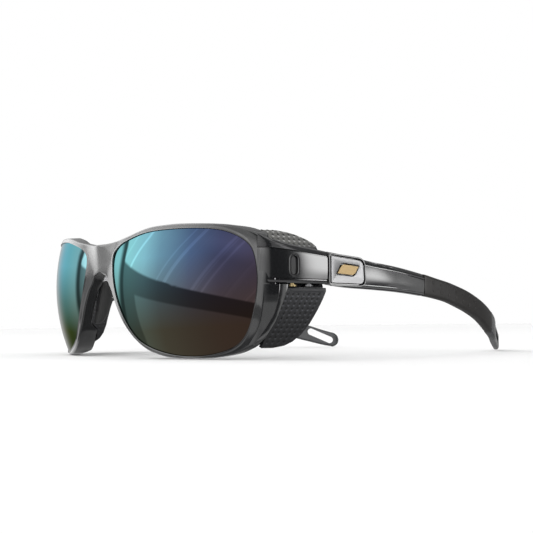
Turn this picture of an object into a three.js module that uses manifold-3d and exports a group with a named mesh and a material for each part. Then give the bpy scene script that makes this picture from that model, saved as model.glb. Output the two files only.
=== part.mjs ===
// Mountain sunglasses: a curved one-piece front, mirror lenses, folding temples with grip sleeves,
// adjustable nose pads and soft side shields held by a lug through the endpiece.
// Millimetres. +Z up, the wearer looks along -Y, left is +X. Built for the left side and mirrored.
import * as THREE from 'three';
import { mergeVertices } from 'three/addons/utils/BufferGeometryUtils.js';
import Module from 'manifold-3d';

const wasm = await Module();
wasm.setup();

const GAP = 0.3;                    // clearance between neighbouring pieces
const FRONT_TO_CENTRE = 76.5;       // front of the bridge to the middle of the box

const LENS_SPHERE = 66;             // radius of the lens front
const LENS_THICKNESS = 2;
const LENS_CENTRE = [16.1, 67.6, 25.6];
const WRAP = THREE.MathUtils.degToRad(22.65);
const RIM_PROUD = 0.9;              // rim front above the lens front
const LENS_COVER = 0.5;             // lens edge hidden under the rim
const STATIONS = 72;                // sections around each rim

const FOLD_AXIS = [63.5, 44.5];
const KNUCKLE_RADIUS = 1.9;
const FRONT_KNUCKLES = [[24.8, 26.4], [28.4, 30.0], [32.0, 33.6]];
const TEMPLE_KNUCKLES = [[26.7, 28.1], [30.3, 31.7]];

const ENDPIECE_THICKNESS = 3.6;
const SLOT_AT = [33.4, 29.6];       // oval slot for the shield lug: y, z
const SLOT_SIZE = [2.8, 6.3];
const STUD_AT = 33.4;
const BUSH_AT = 39.5;

const SHIELD_SHEET = 1.6;
const WEB_DEPTH = 5.4;              // shield web behind the outer face of the endpiece

const PLATE_THICKNESS = 0.9;
const NECK = 1;                     // how far the temple is necked under the grip sleeve
const SLEEVE_FROM = 88.4;
const SLEEVE_TO = 131;

// ---- outlines -----------------------------------------------------------------------------------

const OPENING = [
  [-31.8, 11.3], [-29, 14.8], [-23.1, 17.1], [-13.1, 19.2], [-0.2, 19.7], [10.8, 19.2],
  [17.6, 17.7], [23.1, 14.6], [25.8, 10.4], [26.9, 2.2], [25.4, -7.2], [22.1, -15],
  [16.7, -19.3], [7.1, -21.5], [-4.3, -21.2], [-15.6, -18.2], [-22.2, -13.5],
  [-27.9, -4.8], [-31, 3.8],
];
const RIM_OUTSIDE = [
  [-36.7, 3.9], [-37.6, 12], [-34, 16.6], [-28.4, 17.5], [-22.5, 18.7], [-12.6, 20.8],
  [0.1, 21.2], [11.1, 20.7], [21, 19.1], [26.6, 15.2], [28.6, 10], [29, 2], [27.6, -7],
  [25.4, -13.9], [21.8, -18.9], [16.1, -21.5], [3.8, -22.5], [-6, -22.3], [-12.3, -21.1],
  [-17, -19.6], [-21.3, -16.6], [-27.4, -9.8], [-31.2, -3],
];

// Outer face of endpiece and temple seen from above, front to tip
const PLAN = new THREE.CatmullRomCurve3([
  [61.2, 19.6], [64.2, 21.2], [66.2, 24], [67.5, 28], [69, 36], [70, 45.5], [70.4, 54], [70.8, 62.5],
  [71.4, 75], [71.8, 92], [70.7, 108], [67.6, 122], [62.6, 134], [56.5, 142], [52.4, 147.65],
  [48.3, 153.3],
].map(([x, y]) => new THREE.Vector3(x, y, 0)), false, 'centripetal');

// ---- solids -------------------------------------------------------------------------------------

function toSolid(geometry) {
  const bare = geometry.index ? geometry.toNonIndexed() : geometry;
  for (const name of Object.keys(bare.attributes)) {
    if (name !== 'position') bare.deleteAttribute(name);
  }
  const merged = mergeVertices(bare, 1e-4);
  return new wasm.Manifold(new wasm.Mesh({
    numProp: 3,
    vertProperties: new Float32Array(merged.attributes.position.array),
    triVerts: new Uint32Array(merged.index.array),
  }));
}

function toGeometry(solid, flipX) {
  const mesh = solid.getMesh();
  const points = Float32Array.from(mesh.vertProperties);
  const faces = Uint32Array.from(mesh.triVerts);
  for (let i = 1; i < points.length; i += 3) points[i] -= FRONT_TO_CENTRE;
  if (flipX) {
    for (let i = 0; i < points.length; i += 3) points[i] = -points[i];
    faces.reverse();
  }
  const geometry = new THREE.BufferGeometry();
  geometry.setAttribute('position', new THREE.BufferAttribute(points, 3));
  geometry.setIndex(new THREE.BufferAttribute(faces, 1));
  geometry.computeVertexNormals();
  return geometry;
}

// Triangles of a flat polygon, each with its corners in the order of the ring
function capTriangles(ring) {
  const normal = new THREE.Vector3();
  for (let i = 0; i < ring.length; i++) {
    const a = ring[i];
    const b = ring[(i + 1) % ring.length];
    normal.add(new THREE.Vector3().crossVectors(a, b));
  }
  const turn = new THREE.Quaternion().setFromUnitVectors(normal.normalize(), new THREE.Vector3(0, 0, 1));
  const flat = ring.map((p) => p.clone().applyQuaternion(turn)).map((p) => new THREE.Vector2(p.x, p.y));
  return THREE.ShapeUtils.triangulateShape(flat, []).map((t) => [...t].sort((a, b) => a - b));
}

// Closed solid through rings of points with the same count
function loft(rings, closed = false) {
  const n = rings[0].length;
  const faces = [];
  const spans = closed ? rings.length : rings.length - 1;
  for (let i = 0; i < spans; i++) {
    const a = i * n;
    const b = ((i + 1) % rings.length) * n;
    for (let j = 0; j < n; j++) {
      const k = (j + 1) % n;
      faces.push(a + j, a + k, b + k, a + j, b + k, b + j);
    }
  }
  if (!closed) {
    const last = (rings.length - 1) * n;
    for (const [p, q, r] of capTriangles(rings[0])) faces.push(r, q, p);
    for (const [p, q, r] of capTriangles(rings.at(-1))) faces.push(last + p, last + q, last + r);
  }
  const points = rings.flat().flatMap((p) => p.toArray());
  if (volume(points, faces) < 0) faces.reverse();
  const geometry = new THREE.BufferGeometry();
  geometry.setAttribute('position', new THREE.Float32BufferAttribute(points, 3));
  geometry.setIndex(faces);
  return toSolid(geometry);
}

function volume(points, faces) {
  const corner = (i) => new THREE.Vector3().fromArray(points, 3 * i);
  let sum = 0;
  for (let i = 0; i < faces.length; i += 3) {
    sum += corner(faces[i]).dot(corner(faces[i + 1]).cross(corner(faces[i + 2])));
  }
  return sum;
}

function box(x0, x1, y0, y1, z0, z1) {
  const geometry = new THREE.BoxGeometry(x1 - x0, y1 - y0, z1 - z0);
  return toSolid(geometry.translate((x0 + x1) / 2, (y0 + y1) / 2, (z0 + z1) / 2));
}

function post(x, y, z0, z1, radius, sides = 20) {
  const geometry = new THREE.CylinderGeometry(radius, radius, z1 - z0, sides).rotateX(Math.PI / 2);
  return toSolid(geometry.translate(x, y, (z0 + z1) / 2));
}

// Outline drawn in the plane of two directions, extruded against the third
function slab(outline, basis, depth) {
  const geometry = new THREE.ExtrudeGeometry(outline, { depth, bevelEnabled: false, curveSegments: 8 });
  return toSolid(geometry.applyMatrix4(basis));
}

function joined(solids) {
  return solids.reduce((sum, next) => sum.add(next));
}

function roundedShape(corners) {
  const shape = new THREE.Shape();
  corners.forEach(([x, y, r], i) => {
    const from = corners.at(i - 1);
    const to = corners[(i + 1) % corners.length];
    const at = new THREE.Vector2(x, y);
    const a = new THREE.Vector2(from[0], from[1]).sub(at).setLength(r).add(at);
    const b = new THREE.Vector2(to[0], to[1]).sub(at).setLength(r).add(at);
    if (i === 0) shape.moveTo(a.x, a.y);
    else shape.lineTo(a.x, a.y);
    shape.quadraticCurveTo(x, y, b.x, b.y);
  });
  shape.closePath();
  return shape;
}

function stadium(length, height) {
  const r = height / 2;
  const half = length / 2 - r;
  const shape = new THREE.Shape();
  shape.absarc(half, 0, r, -Math.PI / 2, Math.PI / 2, false);
  shape.absarc(-half, 0, r, Math.PI / 2, 1.5 * Math.PI, false);
  return shape;
}

// ---- plan of the side ---------------------------------------------------------------------------

function planAt(y) {
  let low = 0;
  let high = 1;
  for (let i = 0; i < 40; i++) {
    const middle = (low + high) / 2;
    if (PLAN.getPoint(middle).y < y) low = middle;
    else high = middle;
  }
  const point = PLAN.getPoint(low);
  const along = PLAN.getTangent(low).setZ(0).normalize();
  return { point, along, inward: new THREE.Vector3(-along.y, along.x, 0) };
}

function sidePoint(y, depth, z) {
  const { point, inward } = planAt(y);
  return point.clone().addScaledVector(inward, depth).setZ(z);
}

// Axes at a point of the side: x rearward along it, y up, z outward
function sideBasis(y, depth, z, tilt = 0) {
  const { along, inward } = planAt(y);
  const basis = new THREE.Matrix4().makeBasis(along, new THREE.Vector3(0, 0, 1), inward.clone().negate());
  basis.multiply(new THREE.Matrix4().makeRotationZ(tilt));
  return basis.setPosition(sidePoint(y, depth, z));
}

// ---- front --------------------------------------------------------------------------------------

const NORMAL = new THREE.Vector3(Math.sin(WRAP), -Math.cos(WRAP), -0.049).normalize();
const ACROSS = new THREE.Vector3(Math.cos(WRAP), Math.sin(WRAP), 0);
const UPWARD = new THREE.Vector3().crossVectors(ACROSS, NORMAL).negate().normalize();

function onSphere([u, v], radius) {
  const height = Math.sqrt(radius * radius - u * u - v * v);
  return new THREE.Vector3(...LENS_CENTRE)
    .addScaledVector(ACROSS, u).addScaledVector(UPWARD, v).addScaledVector(NORMAL, height);
}

const HUB = [-2, 0];

// Where rays from the middle of the lens, one for each station, cross a closed outline
function raysAcross(nodes) {
  const curve = new THREE.CatmullRomCurve3(nodes.map(([u, v]) => new THREE.Vector3(u, v, 0)), true);
  const points = curve.getPoints(600).map((p) => [p.x - HUB[0], p.y - HUB[1]]);
  const turns = points.map(([u, v]) => (Math.atan2(v, u) / (2 * Math.PI) + 1) % 1);
  return Array.from({ length: STATIONS }, (_, i) => {
    const want = i / STATIONS;
    const miss = turns.map((t) => Math.abs(((t - want + 1.5) % 1) - 0.5));
    const [u, v] = points[miss.indexOf(Math.min(...miss))];
    const reach = Math.hypot(u, v);
    return [HUB[0] + reach * Math.cos(want * 2 * Math.PI), HUB[1] + reach * Math.sin(want * 2 * Math.PI)];
  });
}

function grown(outline, by) {
  return outline.map(([u, v]) => {
    const reach = Math.hypot(u - HUB[0], v - HUB[1]);
    const k = (reach + by) / reach;
    return [HUB[0] + (u - HUB[0]) * k, HUB[1] + (v - HUB[1]) * k];
  });
}

const opening = raysAcross(OPENING);
const outside = raysAcross(RIM_OUTSIDE);
const groove = grown(opening, LENS_COVER + GAP);
const lensEdge = grown(opening, LENS_COVER);
const ramp = (value, from, to) => THREE.MathUtils.smoothstep(value, from, to);

// Depth and direction of the rim wall behind each station: straight back on the temple and nose
// sides, square to the lens above and below, deeper at the temple and at the lower nasal lobe
function rimWall([u, v]) {
  const temporal = ramp(u, 8, 27);
  const nasal = 1 - ramp(u, -27, -18);
  const lobe = ramp(-u, 7, 15) * (1 - ramp(-u, 24, 28)) * ramp(-v, 9, 15);
  const back = NORMAL.clone().negate();
  back.lerp(new THREE.Vector3(0.22, 1, 0).normalize(), Math.max(temporal, nasal, lobe));
  const depth = 4.6 + temporal * (1.5 + Math.min(0, v) * 0.1) + lobe * 3.6;
  return back.normalize().multiplyScalar(depth);
}

function rim() {
  const top = LENS_SPHERE + RIM_PROUD;
  const upper = LENS_SPHERE + GAP;
  const lower = LENS_SPHERE - LENS_THICKNESS - GAP;
  return loft(opening.map((p, i) => {
    const q = outside[i];
    const wall = rimWall(q);
    const rest = wall.clone().multiplyScalar(1 - (top - lower) / wall.length());
    return [
      onSphere(p, top), onSphere(q, top), onSphere(q, top).add(wall), onSphere(p, lower).add(rest),
      onSphere(p, lower), onSphere(groove[i], lower), onSphere(groove[i], upper), onSphere(p, upper),
    ];
  }), true);
}

// Room for the lens and the view through it, cut from what joins the rim
function eyeCutter() {
  const wide = grown(opening, 0.25);
  const upper = LENS_SPHERE + GAP;
  const lower = LENS_SPHERE - LENS_THICKNESS - GAP;
  const behind = wide.map((p, i) => onSphere(p, lower).addScaledVector(rimWall(outside[i]), 1.6));
  return loft([
    wide.map((p) => onSphere(p, 70)), wide.map((p) => onSphere(p, upper)),
    groove.map((p) => onSphere(p, upper)), groove.map((p) => onSphere(p, lower)),
    wide.map((p) => onSphere(p, lower)), behind,
  ]);
}

function lens() {
  const rings = [];
  const shell = (scale, radius) => lensEdge.map(([u, v]) => (
    onSphere([HUB[0] + (u - HUB[0]) * scale, HUB[1] + (v - HUB[1]) * scale], radius)));
  for (const scale of [0.02, 0.25, 0.5, 0.75, 1]) rings.push(shell(scale, LENS_SPHERE));
  for (const scale of [1, 0.75, 0.5, 0.25, 0.02]) rings.push(shell(scale, LENS_SPHERE - LENS_THICKNESS));
  return loft(rings);
}

// Section of the bridge at x: front top, front bottom, back bottom, back top
function bridge() {
  const table = [
    [7.4, 39.9, 23.8, 2.3, 1.5], [5.2, 39.6, 25.7, 1.5, 1.7], [2.8, 39.2, 28.1, 0.5, 1.6], [0, 39, 30.2, 0, 1.4],
  ];
  const rows = [...table.map(([x, ...rest]) => [-x, ...rest]), ...table.slice(0, 3).reverse()];
  return loft(rows.map(([x, zTop, zLow, yTop, yLow]) => [
    new THREE.Vector3(x, yTop + 0.7, zTop), new THREE.Vector3(x, yTop, zTop - 0.8),
    new THREE.Vector3(x, yTop + 0.1, zTop - 4), new THREE.Vector3(x, yLow, zLow + 0.6),
    new THREE.Vector3(x, yLow + 0.8, zLow), new THREE.Vector3(x, yLow + 4.2, zLow + 0.4),
    new THREE.Vector3(x, yTop + 4.6, zTop - 4), new THREE.Vector3(x, yTop + 4.6, zTop - 0.6),
  ]));
}

function endpiece() {
  const table = [
    [21.4, 25.2, 38, 39.8], [22.5, 24.7, 37.2, 39.3], [25, 24.3, 35.8, 38.3], [30, 24, 34.8, 37],
    [35.4, 23.9, 34.1, 35.9], [41, 23.8, 33.4, 35.1], [46, 23.7, 32.8, 34.4],
  ];
  return loft(table.map(([y, zLow, zRidge, zTop]) => [
    [0, zLow + 1.2], [0, zRidge], [1.2, zTop], [ENDPIECE_THICKNESS, zTop - 0.2],
    [ENDPIECE_THICKNESS, zLow], [0.5, zLow],
  ].map(([depth, z]) => sidePoint(y, depth, z))));
}

function slotCutter() {
  const shape = stadium(SLOT_SIZE[1], SLOT_SIZE[0]);
  const basis = sideBasis(SLOT_AT[0], ENDPIECE_THICKNESS + 1, SLOT_AT[1], Math.PI / 2);
  return slab(shape, basis, ENDPIECE_THICKNESS + 2);
}

function underPost(y, z0, z1, radius) {
  const at = sidePoint(y, ENDPIECE_THICKNESS / 2, 0);
  return post(at.x, at.y, z0, z1, radius);
}

function frontHalf() {
  return joined([rim(), endpiece().subtract(eyeCutter())])
    .subtract(slotCutter())
    .subtract(underPost(STUD_AT, 20, 25.5, 1.2))
    .subtract(underPost(BUSH_AT, 20, 25.5, 1.2));
}

function mirrored(solid) {
  return solid.mirror([1, 0, 0]);
}

function frontFrame() {
  const half = frontHalf();
  const eye = eyeCutter();
  return joined([half, mirrored(half), bridge().subtract(eye).subtract(mirrored(eye))]);
}

// ---- nose pads ----------------------------------------------------------------------------------

const PAD_TOP = new THREE.Vector3(8.9, 7.2, 25.4);
const PAD_LOW = new THREE.Vector3(14.7, 8, 12);
const PAD_AXIS = PAD_LOW.clone().sub(PAD_TOP).normalize();
const PAD_BACK = new THREE.Vector3(0.36, 0.93, 0).addScaledVector(PAD_AXIS, -PAD_AXIS.dot(
  new THREE.Vector3(0.36, 0.93, 0))).normalize();
const PAD_FACE = new THREE.Vector3().crossVectors(PAD_AXIS, PAD_BACK).normalize();

function padPoint(along, back, out) {
  return PAD_TOP.clone().addScaledVector(PAD_AXIS, along).addScaledVector(PAD_BACK, back)
    .addScaledVector(PAD_FACE, out);
}

const padFaceSign = PAD_FACE.x < 0 ? 1 : -1;

function nosePad() {
  const table = [
    [-1.2, 2.6, 0.7], [0.4, 4.2, 1.2], [3, 5.4, 1.6], [6.5, 5.9, 1.8], [10, 5.4, 1.7], [13, 4.3, 1.3], [15, 2.8, 0.7],
  ];
  const body = loft(table.map(([along, reach, half]) => [
    [0, -half * 0.7], [reach * 0.5, -half], [reach * 0.9, -half * 0.7], [reach, 0], [reach * 0.85, half * 0.9],
    [reach * 0.45, half * 1.25], [0.2, half],
  ].map(([back, out]) => padPoint(along, back, out * padFaceSign))));
  return body.subtract(coreBlock(GAP));
}

// Blade inside the pad with a stub towards the frame
function coreBlock(gap) {
  const section = [[-0.7 - gap, -0.4 - gap], [3 + gap, -0.4 - gap], [3 + gap, 0.4 + gap], [-0.7 - gap, 0.4 + gap]];
  return loft([3 - gap, 10 + gap].map((along) => section.map(([back, out]) => padPoint(along, back, out))));
}

// ---- temples ------------------------------------------------------------------------------------

// y, bottom, top, thickness, neck
const TEMPLE = [
  [46.3, 23.6, 34.4, 3.4, 0], [55, 22.6, 33.2, 3.4, 0], [64.5, 22.2, 31.6, 3.3, 0], [76.8, 21.4, 29.9, 3.2, 0],
  [87.9, 20.2, 27.8, 3.2, 0], [88.1, 20.2, 27.8, 3.2, NECK], [95, 19.2, 26.3, 3.3, NECK],
  [101, 18.1, 25.1, 3.4, NECK], [107, 16.4, 23.6, 3.5, NECK], [113, 14.6, 22, 3.5, NECK],
  [120.8, 11.8, 19.4, 3.4, NECK], [126, 9.4, 17.4, 3.3, NECK], [131.3, 6.9, 15, 3.2, NECK],
  [131.5, 6.8, 14.9, 3.2, 0], [136, 4.8, 12.8, 2.8, 0], [141, 3, 10.5, 2.4, 0], [147, 1.1, 8, 2.2, 0],
  [150.6, 0.2, 6.9, 2.2, 0], [152, 0, 6, 2.1, 0], [153, 0.9, 4.6, 1.7, 0],
];

function templeSection(y, low, top, thick, inset) {
  const c = 0.7;
  const [a, b] = [inset, thick - inset];
  const [l, t] = [low + inset, top - inset];
  return [[a, l + c], [a, t - c], [a + c, t], [b - c, t], [b, t - c], [b, l + c], [b - c, l], [a + c, l]]
    .map(([depth, z]) => sidePoint(y, depth, z));
}

const PLATE_AT = sideBasis(54.3, 0, 0);

function plateShape(by) {
  return roundedShape([
    [-6.9 - by, 24.1 - by, 0.4], [6.9 + by, 23.8 - by, 2], [6.5 + by, 31.5 + by, 2], [-6.9 - by, 33 + by, 0.4],
  ]);
}

function inlayShape(by) {
  return roundedShape([
    [-4.6 - by, 27.2 - by, 0.5], [2.4, 26.6 - by, 1.2], [4.6 + by, 29.6 + by, 0.5], [-2.4, 30.4 + by, 1.2],
  ]);
}

// Slab on the outer face of the temple between two depths
function badgeSlab(shape, deep, proud) {
  const basis = PLATE_AT.clone().multiply(new THREE.Matrix4().makeTranslation(0, 0, -deep));
  return slab(shape, basis, deep + proud);
}

function cordSlot() {
  return slab(stadium(12.6, 3), sideBasis(146.4, 5, 5.2, Math.atan2(-4.6, 10.4)), 10);
}

function temple() {
  return loft(TEMPLE.map((row) => templeSection(...row)))
    .subtract(badgeSlab(plateShape(GAP), PLATE_THICKNESS + GAP, 2))
    .subtract(cordSlot());
}

function gripSleeve() {
  const rows = TEMPLE.filter(([, , , , neck]) => neck > 0);
  rows[0] = [SLEEVE_FROM, ...rows[0].slice(1)];
  rows[rows.length - 1] = [SLEEVE_TO, ...rows.at(-1).slice(1)];
  const skin = loft(rows.map(([y, low, top, thick]) => templeSection(y, low, top, thick, 0)));
  const core = rows.map((row) => [...row]);
  core[0][0] -= 1;
  core[core.length - 1][0] += 1;
  return skin.subtract(loft(core.map(([y, low, top, thick]) => templeSection(y, low, top, thick, NECK - GAP))));
}

// ---- hinges -------------------------------------------------------------------------------------

function knuckles(bands) {
  return joined(bands.map(([z0, z1]) => post(...FOLD_AXIS, z0, z1, KNUCKLE_RADIUS, 24)));
}

function hingeBore() {
  return post(...FOLD_AXIS, 20, 40, 1.1, 16);
}

function frontLeaf() {
  const fingers = FRONT_KNUCKLES.map(([z0, z1]) => box(64.1, 65.3, 42, 44.5, z0, z1));
  return joined([box(64.1, 65.3, 38, 42.1, 24.8, 33.6), ...fingers, knuckles(FRONT_KNUCKLES)])
    .subtract(hingeBore());
}

function templeLeaf() {
  const fingers = TEMPLE_KNUCKLES.map(([z0, z1]) => box(64.1, 65.3, 44.5, 47.2, z0, z1));
  return joined([box(64.1, 66.1, 47, 55, 25.4, 32.6), ...fingers, knuckles(TEMPLE_KNUCKLES)])
    .subtract(hingeBore());
}

function hingeScrew() {
  return joined([post(...FOLD_AXIS, 24.9, 34, 0.8, 16), post(...FOLD_AXIS, 33.9, 34.6, 1.5, 16)]);
}

function underStud(y) {
  return joined([underPost(y, 23.1, 25.2, 0.9), underPost(y, 22.9, 23.4, 1.6)]);
}

// ---- side shields -------------------------------------------------------------------------------

// Depth of the outer face of the shield behind the outer face of the side, with its height
const SHIELD_PROFILE = [
  [6.2, 2], [4.9, 6], [3.2, 10], [1.8, 14], [0.8, 18], [0.4, 20.6], [0.4, 22.5], [WEB_DEPTH, 22.5],
  [WEB_DEPTH, 35], [6.6, 37], [8.1, 39], [9.8, 41],
];

function shieldSheet() {
  const outer = SHIELD_PROFILE;
  const inner = SHIELD_PROFILE.map(([depth, z], i) => {
    const bend = i === 6 ? [SHIELD_SHEET, -SHIELD_SHEET] : [SHIELD_SHEET, i === 7 ? -SHIELD_SHEET : 0];
    return [depth + bend[0], z + bend[1]];
  }).reverse();
  const rows = [25, 27, 29, 32, 35, 38, 41, 44, 47];
  return loft(rows.map((y) => [...outer, ...inner].map(([depth, z]) => {
    const { point } = planAt(Math.min(y, 45));
    return new THREE.Vector3(point.x - depth, y, z);
  })));
}

// Outline of the shield seen from the side, with the notch that clears the hinge
function shieldOutline() {
  const shape = new THREE.Shape();
  shape.moveTo(27, 3.8);
  shape.lineTo(29.4, 3.4);
  shape.splineThru([[33.2, 4], [36, 5.3], [38.6, 7.6], [40.7, 10.8], [43.1, 15.9]].map(
    ([y, z]) => new THREE.Vector2(y, z)));
  shape.lineTo(45.5, 21.4);
  shape.lineTo(45.5, 22.6);
  shape.lineTo(37.2, 22.6);
  shape.lineTo(37.2, 35.2);
  shape.lineTo(45.9, 35.2);
  shape.splineThru([[44.1, 36.8], [41.5, 38.4], [38.2, 39.6], [34, 40.2]].map(
    ([y, z]) => new THREE.Vector2(y, z)));
  shape.lineTo(29, 40.4);
  shape.lineTo(29.4, 22.4);
  shape.lineTo(28.4, 15);
  shape.closePath();
  return shape;
}

function sideShield() {
  const facing = new THREE.Matrix4().makeBasis(
    new THREE.Vector3(0, 1, 0), new THREE.Vector3(0, 0, 1), new THREE.Vector3(1, 0, 0));
  return shieldSheet().intersect(slab(shieldOutline(), facing.setPosition(40, 0, 0), 40));
}

// Base against the shield web, lug through the slot of the endpiece
function shieldClip() {
  const inner = ENDPIECE_THICKNESS + 1.5;
  const base = slab(stadium(8.4, 6), sideBasis(SLOT_AT[0], inner, SLOT_AT[1], Math.PI / 2), 1.1);
  const lug = stadium(SLOT_SIZE[1] - 2 * GAP, SLOT_SIZE[0] - 2 * GAP);
  return base.add(slab(lug, sideBasis(SLOT_AT[0], inner - 0.5, SLOT_AT[1], Math.PI / 2), inner - 1.1));
}

// ---- the glasses --------------------------------------------------------------------------------

const LOOKS = {
  nylon: [0x3a3d3f, 0.25, 0], lens: [0x2f6a7c, 0.05, 0.6], rubber: [0x1f1f20, 0.8, 0], steel: [0x8c8f92, 0.35, 1],
  brass: [0xb08d4a, 0.35, 1], silver: [0xb9b8c4, 0.3, 0.6], gold: [0xd9b36c, 0.35, 0.8], core: [0x2a2a2c, 0.5, 0],
};

function piece(name, solid, look, flipX = false) {
  const [color, roughness, metalness] = LOOKS[look];
  const mesh = new THREE.Mesh(toGeometry(solid, flipX), new THREE.MeshStandardMaterial({ color, roughness, metalness }));
  mesh.name = name;
  return mesh;
}

const PAIRS = [
  ['lens', lens(), 'lens'],
  ['nose_pad', nosePad(), 'rubber'],
  ['nose_pad_core', coreBlock(0), 'core'],
  ['front_hinge_leaf', frontLeaf(), 'steel'],
  ['temple_hinge_leaf', templeLeaf(), 'steel'],
  ['hinge_screw', hingeScrew(), 'steel'],
  ['hinge_bush', underStud(BUSH_AT), 'steel'],
  ['shield_stud', underStud(STUD_AT), 'brass'],
  ['side_shield', sideShield(), 'rubber'],
  ['shield_clip', shieldClip(), 'nylon'],
  ['temple', temple(), 'nylon'],
  ['badge_plate', badgeSlab(plateShape(0), PLATE_THICKNESS, 0).subtract(badgeSlab(inlayShape(GAP), 0.55, 1)), 'silver'],
  ['badge_inlay', badgeSlab(inlayShape(0), 0.25, 0.25), 'gold'],
  ['grip_sleeve', gripSleeve(), 'rubber'],
];

const glasses = new THREE.Group();
glasses.add(piece('front_frame', frontFrame(), 'nylon'));
for (const [name, solid, look] of PAIRS) {
  glasses.add(piece(`left_${name}`, solid, look));
  glasses.add(piece(`right_${name}`, solid, look, true));
}

export default glasses;
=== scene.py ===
import math

import bmesh
import bpy
import numpy as np
from mathutils import Matrix, Vector


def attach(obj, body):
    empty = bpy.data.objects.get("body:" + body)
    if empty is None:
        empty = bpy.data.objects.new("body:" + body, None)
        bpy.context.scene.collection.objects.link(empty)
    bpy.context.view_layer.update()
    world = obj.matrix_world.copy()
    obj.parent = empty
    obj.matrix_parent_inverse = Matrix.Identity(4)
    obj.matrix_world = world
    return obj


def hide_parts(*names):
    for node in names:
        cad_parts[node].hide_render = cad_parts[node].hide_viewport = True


bl_info = {
    "name": "Glacier glasses",
    "version": (1, 0, 0),
    "blender": (4, 5, 0),
    "location": "3D View > Sidebar > Glasses",
    "description": "Builds mountain sunglasses with side shields, folding temples and grip sleeves",
    "category": "Add Mesh",
}

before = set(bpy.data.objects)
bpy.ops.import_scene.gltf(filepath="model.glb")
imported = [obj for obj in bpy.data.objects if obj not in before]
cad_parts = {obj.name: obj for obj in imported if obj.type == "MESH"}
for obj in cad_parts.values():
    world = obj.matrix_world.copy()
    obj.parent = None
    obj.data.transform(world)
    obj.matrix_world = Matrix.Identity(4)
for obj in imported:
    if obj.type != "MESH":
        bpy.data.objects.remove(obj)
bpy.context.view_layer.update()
SHIFT = -76.5                     # bridge front to the middle of the box, mm

# ---- shapes shared by several pieces, in mm, with the bridge front at y 0 ------------------------

OPENING = [
    (-31.8, 11.3), (-29, 14.8), (-23.1, 17.1), (-13.1, 19.2), (-0.2, 19.7), (10.8, 19.2),
    (17.6, 17.7), (23.1, 14.6), (25.8, 10.4), (26.9, 2.2), (25.4, -7.2), (22.1, -15),
    (16.7, -19.3), (7.1, -21.5), (-4.3, -21.2), (-15.6, -18.2), (-22.2, -13.5), (-27.9, -4.8), (-31, 3.8),
]
# From the foot of the bridge down the nose side, round the lens and back to the top of the bridge
RIM_OUTSIDE = [
    (-39.7, 7.3), (-38.6, 7.2), (-37.4, 6.3), (-36.2, 4.6), (-35, 2.7), (-33.2, 0.4), (-31.2, -3.2),
    (-27.3, -9.9), (-24.4, -13.4), (-21, -16.6),
    (-16.7, -19.4), (-12.2, -21), (-6, -22.2), (3.8, -22.4), (10.9, -22.2), (16.1, -21.3), (19.8, -19.9),
    (22.8, -17.9), (25.5, -13.9), (27.6, -7), (28.8, 1), (28.7, 8), (27.3, 13.4), (25, 16.8), (21, 19),
    (16.2, 20.1), (11.1, 20.8), (0.1, 21.3), (-6, 21.2), (-12.6, 20.8), (-17.4, 19.9), (-22.5, 18.7),
    (-28.4, 17.5), (-33.2, 16.6), (-36.4, 16.15), (-38.6, 16.05),
]
PLAN = [
    (61.2, 19.6), (64.2, 21.2), (66.2, 24), (67.5, 28), (69, 36), (70, 45.5), (70.4, 54), (70.8, 62.5),
    (71.4, 75), (71.8, 92), (70.7, 108), (67.6, 122), (62.6, 134), (56.5, 142), (52.4, 147.65), (48.3, 153.3),
]
LENS_CENTRE = np.array((16.1, 67.6, 25.6))
LENS_FACE = 66.6                  # radius of the lens front
LENS_BACK = 64.05
RIM_R = 66.95
HUB = np.array((-2.0, 0.0))       # where the rays that shape lens and rim start, in the lens plane
WRAP = math.radians(22.65)        # how far each lens turns round the face
NORMAL = np.array((math.sin(WRAP), -math.cos(WRAP), -0.049))
NORMAL /= np.linalg.norm(NORMAL)
ACROSS = np.array((math.cos(WRAP), math.sin(WRAP), 0.0))
UPWARD = np.cross(NORMAL, ACROSS)
ENDPIECE_THICK = 3.6
SLOT_AT = (33.4, 29.6)            # slot of the shield clip: y, z
BADGE_Y = 54.3
SLEEVE_FROM, SLEEVE_TO = 88.35, 131.1


def spline(nodes, count, closed=False):
    """Points spaced evenly along a smooth curve through the nodes."""
    p = np.array(nodes, float)
    p = np.vstack((p[-1], p, p[0], p[1])) if closed else np.vstack((2 * p[0] - p[1], p, 2 * p[-1] - p[-2]))
    t = np.linspace(0, 1, 25)[:-1, None]
    runs = []
    for a, b, c, d in zip(p, p[1:], p[2:], p[3:]):
        m0, m1 = (c - a) / 2, (d - b) / 2
        runs.append((2 * t**3 - 3 * t**2 + 1) * b + (t**3 - 2 * t**2 + t) * m0
                    + (3 * t**2 - 2 * t**3) * c + (t**3 - t**2) * m1)
    run = np.vstack(runs + [p[1:2] if closed else p[-2:-1]])
    along = np.concatenate(([0], np.cumsum(np.linalg.norm(np.diff(run, axis=0), axis=1))))
    want = np.linspace(0, along[-1], count)
    return np.stack([np.interp(want, along, run[:, k]) for k in range(run.shape[1])], axis=1)


def ramp(value, start, end):
    t = np.clip((value - start) / (end - start), 0, 1)
    return t * t * (3 - 2 * t)


PLAN_RUN = spline(PLAN, 900)


def plan_at(y):
    """Outer point, direction rearward and direction inward of the side at a distance back."""
    x, before, after = (np.interp(y + d, PLAN_RUN[:, 1], PLAN_RUN[:, 0]) for d in (0, -0.6, 0.6))
    run = after - before if y <= 152 else -0.87
    along = np.array((run, 1.2, 0.0))
    along /= np.linalg.norm(along)
    return np.array((x, y, 0.0)), along, np.array((-along[1], along[0], 0.0))


def side_point(y, depth, z):
    point, _, inward = plan_at(y)
    return point + inward * depth + np.array((0, 0, z))


def on_sphere(uv, radius):
    u, v = uv
    return LENS_CENTRE + ACROSS * u + UPWARD * v + NORMAL * math.sqrt(radius**2 - u * u - v * v)


# ---- mesh helpers --------------------------------------------------------------------------------

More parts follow.
